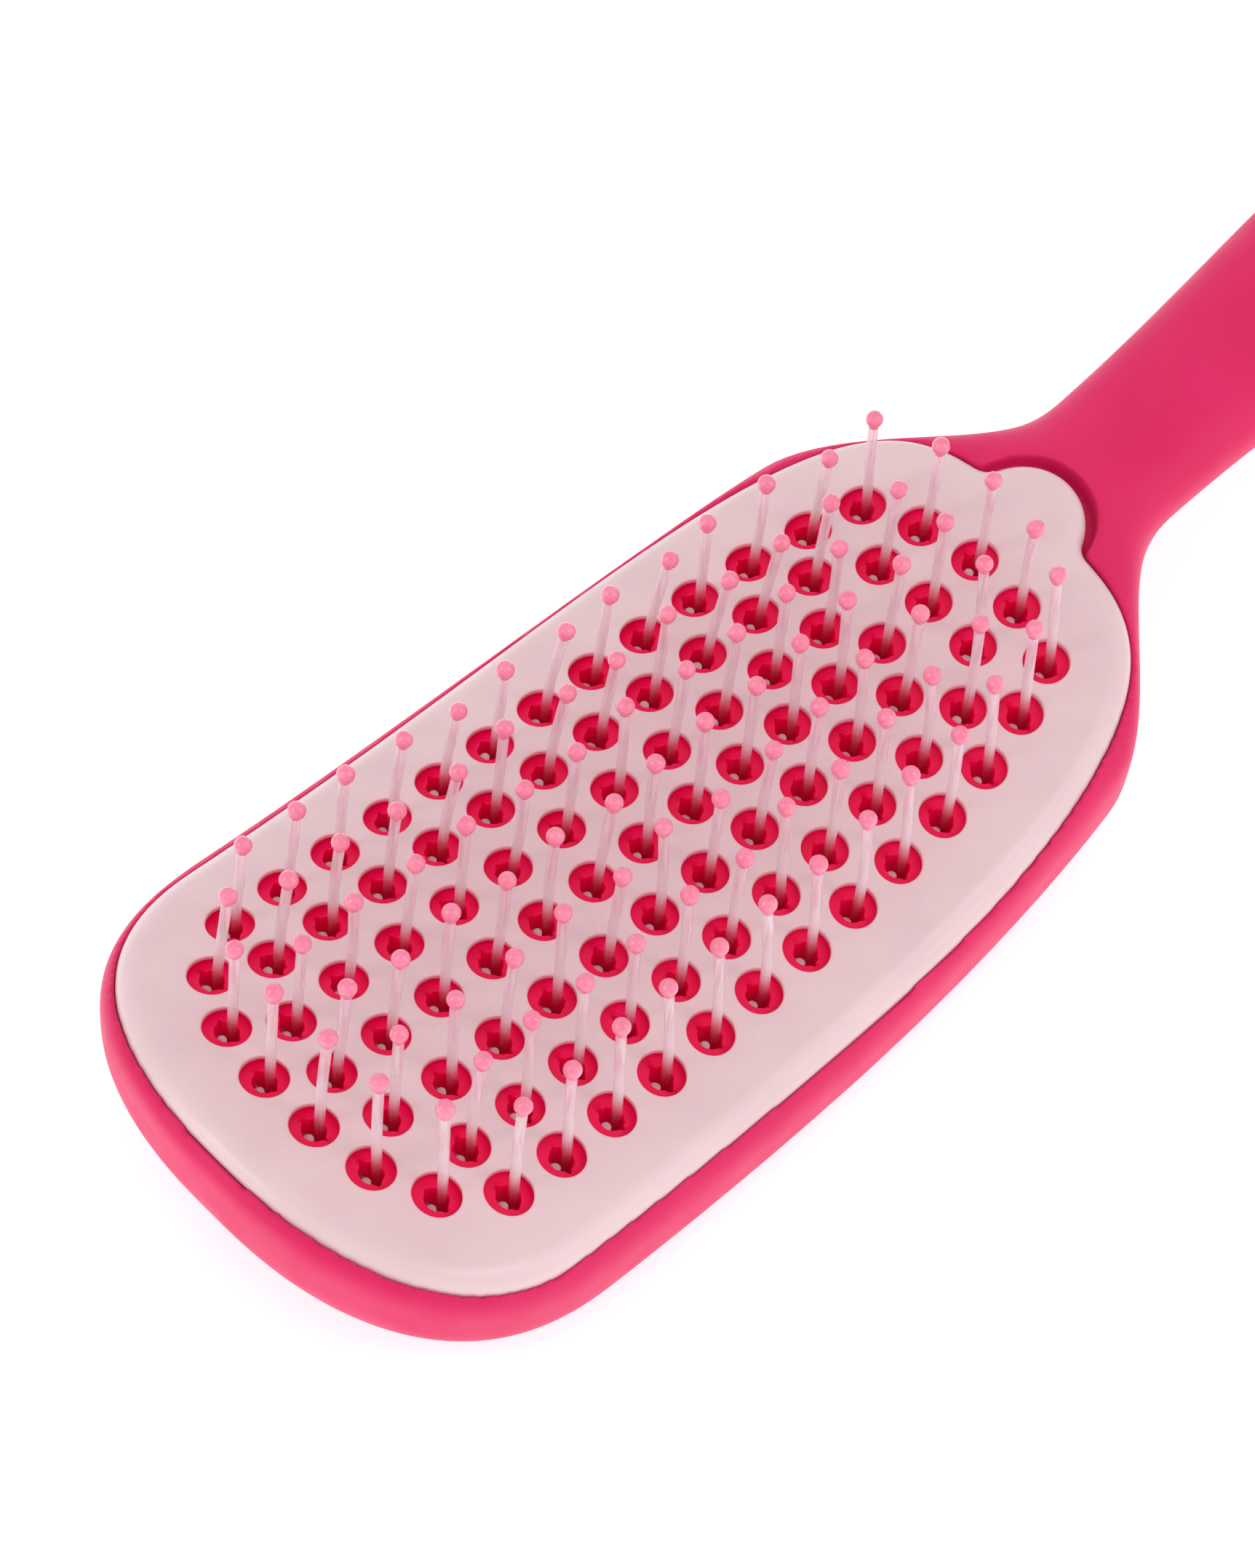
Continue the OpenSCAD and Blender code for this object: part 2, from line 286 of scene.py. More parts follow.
def inside(outline, points):
    """Even-odd test of many points against one closed outline."""
    hit = np.zeros(len(points), bool)
    for (ax, ay), (bx, by) in zip(outline, np.roll(outline, -1, 0)):
        if ay != by:
            crosses = (ay > points[:, 1]) != (by > points[:, 1])
            hit ^= crosses & (points[:, 0] < ax + (points[:, 1] - ay) * (bx - ax) / (by - ay))
    return hit


# ---------------------------------------------------------------- tuft positions
def tuft_centres(row):
    """Well centres of one row: the middle of each ball tip of the frame, less the long leg's offset."""
    work = bmesh.new()
    work.from_mesh(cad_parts["ball_tips_" + row].data)
    bmesh.ops.remove_doubles(work, verts=work.verts, dist=1e-6)
    centres = []
    unseen = set(work.verts)
    while unseen:
        ball = [unseen.pop()]
        for vert in ball:
            for edge in vert.link_edges:
                other = edge.other_vert(vert)
                if other in unseen:
                    unseen.remove(other)
                    ball.append(other)
        xs = [vert.co.x for vert in ball]
        ys = [vert.co.y for vert in ball]
        centres.append((round((min(xs) + max(xs)) / 2 - LEG_X, 6), round((min(ys) + max(ys)) / 2, 6)))
    work.free()
    return sorted(centres)


TUFTS = {row: tuft_centres(row) for row in ROWS}
CENTRES = np.array([centre for row in ROWS for centre in TUFTS[row]])


def store(piece, name, values):
    """Keeps one number per vertex for the piece's material."""
    kept = piece.data.attributes.new(name, "FLOAT", "POINT")
    kept.data.foreach_set("value", np.asarray(values, np.float32))


def nearest_x(point):
    """The x of the tuft whose well is nearest to a point."""
    return CENTRES[np.argmin((CENTRES[:, 0] - point[0]) ** 2 + (CENTRES[:, 1] - point[1]) ** 2), 0]


def nearest_tuft(points):
    """Distance from each plan point to the nearest tuft."""
    return np.linalg.norm(points[:, None] - CENTRES[None], axis=2).min(1)


# ---------------------------------------------------------------- mesh helpers
class Skin:
    """Collects the vertices and faces of a surface, ring by ring."""

    def __init__(self):
        self.verts = []
        self.faces = []

    def add(self, points):
        start = len(self.verts)
        self.verts.extend(points)
        return list(range(start, len(self.verts)))

    def bridge(self, rings):
        for a, b in zip(rings, rings[1:]):
            n = len(a)
            self.faces.extend((a[i], a[(i + 1) % n], b[(i + 1) % n], b[i]) for i in range(n))

    def fan(self, ring, centre):
        tip = self.add([centre])[0]
        n = len(ring)
        self.faces.extend((ring[i], ring[(i + 1) % n], tip) for i in range(n))

    def fill(self, border, holes, grid):
        """Triangles between an outer ring, the rings round the holes, and the grid's points."""
        loops = [border] + holes
        ids = [i for loop in loops for i in loop] + grid
        hole_of = {i: k for k, loop in enumerate(holes) for i in loop}
        place = {v: k for k, v in enumerate(ids)}
        edges = [(place[a], place[b]) for loop in loops for a, b in zip(loop, loop[1:] + loop[:1])]
        flat = [Vector(self.verts[i][:2]) / MM for i in ids]
        tris, origin = itemgetter(2, 3)(delaunay_2d_cdt(flat, edges, [], 1, 1e-6))
        for tri in tris:
            corners = tuple(ids[origin[i][0]] for i in tri)
            touched = {hole_of.get(i, -1) for i in corners}
            if len(touched) > 1 or -1 in touched:
                self.faces.append(corners)

    def piece(self, name):
        """The finished surface as a smooth-shaded object with its faces turned outwards."""
        mesh = bpy.data.meshes.new(name)
        mesh.from_pydata([tuple(map(float, v)) for v in self.verts], [], self.faces)
        work = bmesh.new()
        work.from_mesh(mesh)
        bmesh.ops.recalc_face_normals(work, faces=work.faces)
        work.to_mesh(mesh)
        work.free()
        mesh.shade_smooth()
        made = bpy.data.objects.new(name, mesh)
        bpy.context.scene.collection.objects.link(made)
        return made


def on_saddle(points, drop):
    """Plan points lifted to a depth below the cleaning plate's top."""
    return [(x, y, saddle(x, y) - drop) for x, y in points]


def at_height(points, z):
    return [(x, y, z) for x, y in points]


def grid_inside(outline, spacing, clear):
    """An even triangular grid inside an outline, clear of every tuft."""
    rows = np.arange(-HEAD_HALF_W, HEAD_HALF_W, spacing * math.sqrt(3) / 2)
    columns = np.arange(-TOE_LEN, PLATE_HIGH.x, spacing)
    grid = np.array([(x + (j % 2) * spacing / 2, y) for j, y in enumerate(rows) for x in columns])
    grid = grid[inside(outline, grid)]
    return grid[nearest_tuft(grid) > clear]


def with_modifiers(piece):
    """Applies the piece's modifiers to its mesh."""
    graph = bpy.context.evaluated_depsgraph_get()
    mesh = bpy.data.meshes.new_from_object(piece.evaluated_get(graph))
    piece.modifiers.clear()
    piece.data = mesh
    return piece


def cut(piece, *cutters):
    """Takes the cutters out of the piece one after another, and removes them."""
    for cutter in cutters:
        step = piece.modifiers.new("cut", "BOOLEAN")
        step.operation = "DIFFERENCE"
        step.solver = "EXACT"
        step.object = cutter
    with_modifiers(piece)
    for cutter in cutters:
        bpy.data.objects.remove(cutter)


# ---------------------------------------------------------------- body
def body_blank():
    """The whole moulding before anything is cut into it."""
    turn = np.linspace(0, math.pi / 2, 46)[1:-1]
    toe = BODY_TOE_MID_X - BODY_TOE_A * np.sin(turn[::-1])
    middle = np.arange(BODY_TOE_MID_X, HANDLE_END - END_ROUND, MESH_STEP)
    end = HANDLE_END - END_ROUND + END_ROUND * np.sin(turn)
    a = np.linspace(0, 2 * math.pi, 128, endpoint=False)
    skin = Skin()
    rings = []
    for x in np.concatenate([toe, middle, end]):
        top, bottom = body_heights(x)
        head_power = np.where(np.sin(a) > 0, EDGE_POWER, BELLY_POWER)
        power = 2 / mix(head_power, HANDLE_POWER, ease(x, *SECTION_TURN))
        y = body_w(x) * signed_pow(np.cos(a), power)
        z = mid_z(x) + signed_pow(np.sin(a), power) * np.where(np.sin(a) > 0, top, bottom)
        rings.append(skin.add([(x, yi, zi) for yi, zi in zip(y, z)]))
    skin.bridge(rings)
    skin.fan(rings[0], (-TOE_LEN, 0, mid_z(-TOE_LEN)))
    skin.fan(rings[-1], (HANDLE_END, 0, mid_z(HANDLE_END)))
    return skin.piece("body_shell")


def saddle_cutter(outline, drop):
    """A block that takes away everything inside the outline above a depth below the plate's top."""
    outline = evenly(outline, MESH_STEP)
    grid = grid_inside(inwards(outline, 1 * MM), 3 * MM, 0)
    skin = Skin()
    low_ring = skin.add(on_saddle(outline, drop))
    low_grid = skin.add(on_saddle(grid, drop))
    high_ring = skin.add(at_height(outline, CUT_TOP))
    skin.bridge([low_ring, high_ring])
    skin.fill(low_ring, [], low_grid)
    skin.fill(high_ring, [], [])
    return skin.piece("cutter")


def prism(outline, low, high):
    """An upright block with the outline for its plan."""
    skin = Skin()
    rings = [skin.add(at_height(outline, z)) for z in (low, high)]
    skin.bridge(rings)
    skin.fan(rings[0], (*outline.mean(0), low))
    skin.fan(rings[1], (*outline.mean(0), high))
    return skin.piece("cutter")


def build_body():
    """Head, neck and handle, with softened edges wherever something is cut into it."""
    shell = body_blank()
    below_floor = np.array([(-1, -1), (1, -1), (1, 1), (-1, 1)]) * HANDLE_END * 1.2
    cut(shell,
        saddle_cutter(plate_outline(-BODY_GAP), POCKET_DROP),
        saddle_cutter(head_outline(BED_INSET), BED_DROP + BED_T),
        prism(circle((SCOOP_X, 0), SCOOP_R, 96), saddle(TAB_X, 0) - SCOOP_DROP, CUT_TOP),
        prism(circle((HANG_X, 0), HANG_R, 64), -MM, CUT_TOP),
        prism(below_floor, -20 * MM, 0),
        prism(cover_outline(COVER_SLOT), -MM, COVER_T))
    grain = shell.modifiers.new("even_mesh", "REMESH")
    grain.mode = "VOXEL"
    grain.voxel_size = 0.38 * MM
    soften = shell.modifiers.new("soft_edges", "SMOOTH")
    soften.factor = 0.5
    soften.iterations = 6
    thin = shell.modifiers.new("fewer_faces", "DECIMATE")
    thin.ratio = 0.4
    with_modifiers(shell)
    shell.data.shade_smooth()
    return shell


def build_cover():
    """The glued-in back cover: a flat lid with eased edges."""
    outline = cover_outline(-COVER_PLAY)
    ease_r = 0.45 * MM
    skin = Skin()
    rings = [skin.add(at_height(inwards(outline, ease_r + 2 * MM), 0)),
             skin.add(at_height(inwards(outline, ease_r + 0.3 * MM), 0))]
    for across, up in eased_edge(ease_r, ease_r, 6):
        rings.append(skin.add(at_height(inwards(outline, across), up)))
    rings.append(skin.add(at_height(outline, COVER_T)))
    skin.bridge(rings)
    skin.fan(rings[0], (COVER_MID_X, 0, 0))
    skin.fan(rings[-1], (COVER_MID_X, 0, COVER_T))
    return skin.piece("back_lid")


# ---------------------------------------------------------------- cleaning plate
def build_plate():
    """The lift-off plate: thin sheet, rolled rim, finger tab and one eased hole per tuft."""
    roll_w = 2.6 * MM
    roll_h = 2.2 * MM
    lip = 0.2 * MM
    soft = 0.2 * MM
    outline = evenly(plate_outline(), 0.6 * MM)
    skin = Skin()
    profile = [(roll_w + 0.5 * MM, 0.0)] + eased_edge(roll_w, roll_h, 11)
    profile += [(0.0, RIM_DEPTH - lip), (lip / 3, RIM_DEPTH - lip / 3), (lip, RIM_DEPTH),
                (RIM_T - lip, RIM_DEPTH), (RIM_T, RIM_DEPTH - lip), (RIM_T, PLATE_T + 0.5 * roll_h),
                (RIM_T + 0.45 * MM, PLATE_T + 0.2 * roll_h), (RIM_T + 1.1 * MM, PLATE_T),
                (RIM_T + roll_w, PLATE_T)]
    rim = [skin.add(on_saddle(inwards(outline, inset), drop)) for inset, drop in profile]
    skin.bridge(rim)
    tops = []
    unders = []
    wall = [(HOLE_R + 0.4 * MM, 0.0), (HOLE_R + 0.3 * MM, 0.0)]
    wall += [(HOLE_R + across, drop) for across, drop in eased_edge(soft, soft, 5)]
    wall += [(HOLE_R, PLATE_T - soft / 2), (HOLE_R + soft / 2, PLATE_T), (HOLE_R + soft * 2, PLATE_T)]
    for centre in CENTRES:
        rings = [skin.add(on_saddle(circle(centre, radius, 40), drop)) for radius, drop in wall]
        skin.bridge(rings)
        tops.append(rings[0])
        unders.append(rings[-1])
    grid = grid_inside(inwards(outline, RIM_T + roll_w + 0.7 * MM), 1.5 * MM, wall[0][0] + 0.5 * MM)
    skin.fill(rim[0], tops, skin.add(on_saddle(grid, 0)))
    skin.fill(rim[-1], unders, skin.add(on_saddle(grid, PLATE_T)))
    plate = skin.piece("cleaning_plate_shell")
    spots = np.array([v.co[:2] for v in plate.data.vertices])
    # how near each point is to a hole's edge; the plate's material paints the bed's red glow there
    store(plate, "hole_edge", 1 - np.clip((nearest_tuft(spots) - HOLE_R - 0.05 * MM) / (0.5 * MM), 0, 1))
    return plate


# ---------------------------------------------------------------- bristle bed
def ragged_well(rng, count):
    """Radius round a drilled well: a circle torn wider at the anchor's two ends."""
    a = np.linspace(0, 2 * math.pi, count, endpoint=False)
    radius = np.full(count, WELL_R)
    for side in (math.pi / 2, -math.pi / 2):
        tear = (rng.uniform(0.25, 0.65) * MM, side + rng.uniform(-0.25, 0.25), rng.uniform(0.12, 0.24))
        nicks = [(rng.uniform(-0.05, 0.16) * MM, side + rng.uniform(-1.1, 1.1), rng.uniform(0.06, 0.14))
                 for _ in range(4)]
        for height, middle, width in [tear] + nicks:
            off = (a - middle + math.pi) % (2 * math.pi) - math.pi
            radius = radius + height * np.exp(-(off / width) ** 2)
    return a, radius


def well_ring(skin, centre, around, radius, drop):
    """One ring of a well's wall; radius and drop are one number each, or one for each point."""
    plan = centre + around * np.broadcast_to(radius, len(around))[:, None]
    drops = np.broadcast_to(drop, len(around))
    return skin.add([(x, y, saddle(x, y) - d) for (x, y), d in zip(plan, drops)])


def drill_well(skin, centre, rng):
    """One well from its mouth over the raised burr of its torn edge down to its floor; returns the mouth."""
    a, radius = ragged_well(rng, 64)
    tear = radius - WELL_R
    burr = 0.05 * MM + 0.45 * tear * np.array([rng.uniform(0.2, 1) for _ in a])
    around = np.stack([np.cos(a), np.sin(a)], 1)
    wall = [(WELL_MOUTH_R, BED_DROP),
            (radius + 0.16 * MM, BED_DROP - 0.25 * burr),
            (radius + 0.05 * MM, BED_DROP - burr),
            (radius - 0.02 * MM, BED_DROP - 0.3 * burr),
            (radius - 0.06 * MM, BED_DROP + 0.3 * MM),
            (WELL_R + 0.7 * tear, BED_DROP + 0.9 * MM),
            (WELL_R + 0.5 * tear, BED_DROP + 2 * MM),
            (WELL_R, BED_DROP + WELL_DEPTH)]
    rings = [well_ring(skin, centre, around, r, drop) for r, drop in wall]
    skin.bridge(rings)
    skin.fan(rings[-1], (*centre, saddle(*centre) - BED_DROP - WELL_DEPTH - 0.1 * MM))
    return rings[0]


def build_bed():
    """The rubber bed that holds the tufts, with a torn-edged well under each."""
    rng = random.Random(11)
    outline = evenly(head_outline(BED_INSET + BED_PLAY), MESH_STEP)
    underside = BED_DROP + BED_T - BED_PLAY
    skin = Skin()
    side = [(2 * MM, BED_DROP), (0.4 * MM, BED_DROP), (0.1 * MM, BED_DROP + 0.1 * MM),
            (0, BED_DROP + 0.4 * MM), (0, underside)]
    edge = [skin.add(on_saddle(inwards(outline, inset), drop)) for inset, drop in side]
    skin.bridge(edge)
    mouths = [drill_well(skin, centre, rng) for centre in CENTRES]
    grid = grid_inside(inwards(outline, 2.6 * MM), 2 * MM, WELL_MOUTH_R + 0.5 * MM)
    skin.fill(edge[0], mouths, skin.add(on_saddle(grid, BED_DROP)))
    skin.fill(edge[-1], [], skin.add(on_saddle(grid, underside)))
    return skin.piece("bed_pad")


# ---------------------------------------------------------------- filaments and ball tips
class Tuft:
    """One folded filament: a cut stub, the bend round its anchor, and a long leg that leans a little.

    Its spreads are in millimetres, apart from the shares of the ball's size and the slope of the stub's cut.
    """

    def __init__(self, centre, rng):
        self.base = Vector((*centre, saddle(*centre)))
        self.lean = Vector((rng.gauss(0, 0.3), rng.gauss(0, 0.4), 0)) * MM
        self.lean -= Vector((LEAN_IN_X * centre[0], LEAN_IN_Y * centre[1], 0))
        self.bow = Vector((rng.gauss(0, 0.09), rng.gauss(0, 0.09), 0)) * MM
        self.stub = STUB_DROP + rng.uniform(-0.2, 0.35) * MM
        self.stub_tilt = rng.uniform(-0.35, 0.35)
        self.ball_r = BALL_R * rng.uniform(0.97, 1.04)
        self.ball_stretch = rng.uniform(1.0, 1.12)
        self.top = BALL_H + rng.uniform(-0.12, 0.12) * MM

    def leg(self, z):
        """The middle of the long leg at height z above the plate's top."""
        s = max(0.0, (z + BED_DROP) / (self.top + BED_DROP))
        return self.base + Vector((LEG_X, 0, z)) + self.lean * s ** 1.3 + self.bow * math.sin(math.pi * s)

    def path(self):
        """The filament's middle line, from the cut end of the stub to the ball."""
        stub_top = -BED_DROP - self.stub
        down = [self.base + Vector((-LEG_X, 0, z)) for z in np.linspace(stub_top, -BEND_DROP, 4)]
        bend = [self.base + Vector((LEG_X * math.cos(a), 0, LEG_X * math.sin(a) - BEND_DROP))
                for a in np.linspace(math.pi, 2 * math.pi, 9)[1:-1]]
        up = [self.leg(z) for z in np.linspace(-BEND_DROP, self.top, 16)]
        return down + bend + up


def hoop(centre, along, radius, sides):
    """Points in a circle round a centre, square to a direction that never runs along Y."""
    across = along.cross(Vector((0, 1, 0))).normalized()
    other = along.cross(across)
    return [tuple(centre + (across * math.cos(a) + other * math.sin(a)) * radius)
            for a in np.linspace(0, 2 * math.pi, sides, endpoint=False)]


def sweep(skin, path, radius, sides):
    """A tube round a path; returns its rings."""
    rings = []
    for i, point in enumerate(path):
        along = (path[min(i + 1, len(path) - 1)] - path[max(i - 1, 0)]).normalized()
        rings.append(skin.add(hoop(point, along, radius, sides)))
    skin.bridge(rings)
    return rings


def build_filaments(row, tufts):
    """The folded filaments of one row, with how frosted, sunk and milky each point is."""
    skin = Skin()
    for tuft in tufts:
        path = tuft.path()
        rings = sweep(skin, path, FILAMENT_R, 20)
        stub = rings[0]
        cut_end = path[0]
        for i in stub:
            x, y, z = skin.verts[i]
            skin.verts[i] = (x, y, z + (x - cut_end.x) * tuft.stub_tilt)
        lift = Vector((0, 0, 0.07 * MM))
        eased = skin.add([tuple(cut_end + (Vector(skin.verts[i]) - cut_end) * 0.86 + lift) for i in stub])
        skin.bridge([eased, stub])
        skin.fan(eased, tuple(cut_end + Vector((0, 0, 0.08 * MM))))
        skin.fan(rings[-1], tuple(path[-1]))
    nylon = skin.piece("filaments_" + row + "_nylon")
    spots = np.array([vert.co for vert in nylon.data.vertices])
    rise = (spots[:, 2] - saddle(spots[:, 0], spots[:, 1])) / MM
    stub = np.array([spot[0] < nearest_x(spot) for spot in spots]) & (rise < -1)
    frost = ease(rise, -0.5, 4.5) * (1 - ease(rise, 5.5, 10.0))
    # how far each point is sunk below the plate; the material paints the bed's red reflection and the well's
    # shade there
    sunk = 1 - ease(rise, -2.0, 3.5)
    store(nylon, "frost", np.maximum(frost, stub))
    store(nylon, "sunk", sunk * ~stub)
    store(nylon, "milk", np.maximum(0.45 * (1 + frost - sunk), stub))
    return nylon


def build_tips(row, tufts):
    """Dipped balls: round above, drawn down to a short collar on the filament."""
    collar_r = FILAMENT_R + 0.03 * MM
    skin = Skin()
    for tuft in tufts:
        centre = tuft.leg(tuft.top)
        up = (centre - tuft.leg(tuft.top - 2 * MM)).normalized()
        r = tuft.ball_r
        profile = []
        for a in np.linspace(math.radians(86), math.radians(-76), 18):
            stretch = tuft.ball_stretch if a < 0 else 1
            narrowest = collar_r if a < -0.8 else 0
            profile.append((max(r * math.cos(a), narrowest), r * math.sin(a) * stretch))
        profile.append((collar_r, -r * (tuft.ball_stretch + 0.12)))
        profile.append((FILAMENT_R * 0.9, -r * (tuft.ball_stretch + 0.16)))
        rings = [skin.add(hoop(centre + up * height, up, radius, 24)) for radius, height in profile]
        skin.bridge(rings)
        skin.fan(rings[0], tuple(centre + up * r))
        skin.fan(rings[-1], tuple(centre + up * profile[-1][1]))
    return skin.piece("ball_tips_" + row + "_dipped")


# ---------------------------------------------------------------- materials
def srgb(r, g, b):
    """A display colour from 0 to 255, as the linear colour that shaders take."""
    return tuple(((c / 255 + 0.055) / 1.055) ** 2.4 for c in (r, g, b)) + (1.0,)


class Look:
    """One node material round a Principled shader, in the object's own coordinates."""

    def __init__(self, name, **sockets):
        self.material = bpy.data.materials.new(name)
        self.material.use_nodes = True
        self.nodes = self.material.node_tree.nodes
        self.links = self.material.node_tree.links
        self.shader = self.nodes["Principled BSDF"]
        self.place = self.nodes.new("ShaderNodeTexCoord").outputs["Object"]
        for socket, value in sockets.items():
            self.shader.inputs[socket.replace("_", " ")].default_value = value

    def noise(self, size, detail=3.0, stretch=(1, 1, 1)):
        """Noise whose lumps are about size metres across."""
        squeeze = self.nodes.new("ShaderNodeMapping")
        squeeze.inputs["Scale"].default_value = stretch
        self.links.new(self.place, squeeze.inputs["Vector"])
        node = self.nodes.new("ShaderNodeTexNoise")
        node.inputs["Scale"].default_value = 1 / size
        node.inputs["Detail"].default_value = detail
        self.links.new(squeeze.outputs["Vector"], node.inputs["Vector"])
        return node.outputs["Fac"]

    def attribute(self, name):
        node = self.nodes.new("ShaderNodeAttribute")
        node.attribute_name = name
        return node.outputs["Fac"]

    def span(self, value, low, high, from_low=0.3, from_high=0.7):
        node = self.nodes.new("ShaderNodeMapRange")
        node.inputs["From Min"].default_value = from_low
        node.inputs["From Max"].default_value = from_high
        node.inputs["To Min"].default_value = low
        node.inputs["To Max"].default_value = high
        self.links.new(value, node.inputs["Value"])
        return node.outputs["Result"]

    def blend(self, share, a, b):
        """A colour between a and b, each a colour or a socket."""
        node = self.nodes.new("ShaderNodeMix")
        node.data_type = "RGBA"
        self.links.new(share, node.inputs["Factor"])
        for socket, colour in ((node.inputs["A"], a), (node.inputs["B"], b)):
            if isinstance(colour, tuple):
                socket.default_value = colour
            else:
                self.links.new(colour, socket)
        return node.outputs["Result"]

    def clouds(self, size, a, b):
        """Soft patches of two colours, about size metres across."""
        return self.blend(self.span(self.noise(size), 0, 1), a, b)

    def bump(self, height, depth, strength=0.6, under=None):
        node = self.nodes.new("ShaderNodeBump")
        node.inputs["Distance"].default_value = depth
        node.inputs["Strength"].default_value = strength
        self.links.new(height, node.inputs["Height"])
        if under is not None:
            self.links.new(under, node.inputs["Normal"])
        return node.outputs["Normal"]

    def feed(self, socket, value):
        self.links.new(value, self.shader.inputs[socket])


def soft_touch():
    """Deep pink rubberised paint: fine grain, faint handling marks."""
    look = Look("soft_touch_pink", Specular_IOR_Level=0.32, Sheen_Weight=0.05, Sheen_Roughness=0.5,
                Subsurface_Weight=0.12, Subsurface_Scale=1 * MM)
    look.shader.inputs["Subsurface Radius"].default_value = (1.0, 0.25, 0.35)
    look.feed("Base Color", look.clouds(14 * MM, srgb(222, 19, 91), srgb(229, 29, 101)))
    look.feed("Roughness", look.span(look.noise(5 * MM), 0.44, 0.56))
    grain = look.bump(look.noise(0.35 * MM, 4), 0.05 * MM, 0.5)
    look.feed("Normal", look.bump(look.noise(6 * MM), 0.05 * MM, 0.3, grain))
    return look.material


def plate_plastic():
    """Pale pink moulded plastic: satin gloss, with a painted red glow at the thin hole edges standing in for
    the crimson bed's light showing through them.
    """
    look = Look("pale_pink_plastic", Subsurface_Weight=0.12, Subsurface_Scale=0.8 * MM, Coat_Weight=0.12,
                Coat_Roughness=0.2)
    look.shader.inputs["Subsurface Radius"].default_value = (1.0, 0.45, 0.45)
    sheet = look.clouds(9 * MM, srgb(231, 200, 204), srgb(236, 207, 210))
    # painted glow: the sheet's colour turns deeper pink near each hole, standing in for the crimson bed's
    # light through the thin edge
    bed_glow_near_hole = look.span(look.attribute("hole_edge"), 0, 0.45, 0, 1)
    look.feed("Base Color", look.blend(bed_glow_near_hole, sheet, srgb(247, 190, 202)))
    look.feed("Roughness", look.span(look.noise(3 * MM), 0.26, 0.36))
    fine = look.bump(look.noise(0.4 * MM, 4), 0.02 * MM, 0.3)
    look.feed("Normal", look.bump(look.noise(7 * MM, 1), 0.12 * MM, 0.25, fine))
    return look.material


def bed_rubber():
    """Crimson rubber with a faint painted red glow (emission), so that it stays red in the shade of the
    plate.
    """
    # painted glow: Emission_Strength and Emission Color make the rubber give off faint crimson light,
    # standing in for light that reaches the bed under the plate
    look = Look("crimson_rubber", Specular_IOR_Level=0.25, Subsurface_Weight=0.3, Subsurface_Scale=1.5 * MM,
                Emission_Strength=0.14)
    look.shader.inputs["Subsurface Radius"].default_value = (1.0, 0.1, 0.2)
    look.shader.inputs["Emission Color"].default_value = srgb(225, 0, 60)
    look.feed("Base Color", look.clouds(4 * MM, srgb(232, 1, 76), srgb(242, 4, 88)))
    look.feed("Roughness", look.span(look.noise(1.5 * MM), 0.35, 0.5))
    look.feed("Normal", look.bump(look.noise(0.5 * MM, 4), 0.04 * MM, 0.4))
    return look.material


def clear_nylon():
    """Clear nylon with drawn-out streaks, frosted near the plate, and a painted crimson where it is sunk:
    the bed's reflected red and the well's shade.
    """
    look = Look("clear_nylon", IOR=1.4, Transmission_Weight=0.3, Specular_IOR_Level=0.5)
    streaks = look.noise(0.4 * MM, 2, (1, 1, 0.02))
    clear = look.blend(look.span(streaks, 0, 1, 0.4, 0.62), srgb(255, 240, 245), srgb(246, 200, 216))
    frosted = look.blend(look.attribute("frost"), clear, srgb(250, 230, 236))
    # painted reflection and shade: below the plate the nylon's colour turns crimson, standing in for the red
    # bed round it and the shade of the well
    look.feed("Base Color", look.blend(look.attribute("sunk"), frosted, srgb(214, 52, 100)))
    look.feed("Alpha", look.span(look.attribute("milk"), 0.42, 0.86, 0, 1))
    look.feed("Roughness", look.span(look.noise(0.8 * MM, 2, (1, 1, 0.1)), 0.14, 0.26))
    look.feed("Normal", look.bump(streaks, 0.01 * MM, 0.2))
    return look.material


def ball_dip():
    """Pink dipped epoxy with small darker flecks."""
    look = Look("pink_ball_dip", Subsurface_Weight=0.25, Subsurface_Scale=0.5 * MM, Coat_Weight=0.7,
                Coat_Roughness=0.08)
    look.shader.inputs["Subsurface Radius"].default_value = (1.0, 0.5, 0.5)
    base = look.clouds(1.2 * MM, srgb(250, 122, 156), srgb(255, 144, 173))
    flecks = look.span(look.noise(0.5 * MM, 2), 0, 0.35, 0.66, 0.76)
    look.feed("Base Color", look.blend(flecks, base, srgb(205, 110, 140)))
    look.feed("Roughness", look.span(look.noise(0.7 * MM), 0.2, 0.34))
    look.feed("Normal", look.bump(look.noise(0.9 * MM, 2), 0.04 * MM, 0.3))
    return look.material


def anchor_steel():
    """Drawn steel wire, a little dull."""
    look = Look("drawn_steel", Metallic=1.0)
    streaks = look.noise(0.3 * MM, 3, (1, 0.1, 1))
    look.feed("Base Color", look.blend(look.span(streaks, 0, 1), srgb(150, 150, 155), srgb(190, 190, 195)))
    look.feed("Roughness", look.span(streaks, 0.3, 0.5))
    look.feed("Normal", look.bump(streaks, 0.01 * MM, 0.4))
    return look.material


def floor_paper():
    """White paper sweep, bright enough to read as plain white."""
    look = Look("white_paper", Emission_Strength=0.5)
    look.shader.inputs["Emission Color"].default_value = (1, 1, 1, 1)
    look.feed("Base Color", look.clouds(60 * MM, srgb(243, 243, 243), srgb(247, 247, 247)))
    look.feed("Roughness", look.span(look.noise(4 * MM), 0.75, 0.9))
    return look.material


def dress(piece, material):
    """Gives a piece one material all over."""
    piece.data.materials.clear()
    piece.data.materials.append(material)


def place(piece, material, node, body, slot):
    """Gives a piece its material, hangs it on its body, and hides the CAD node it stands for."""
    dress(piece, material)
    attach(piece, body)
    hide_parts(node)


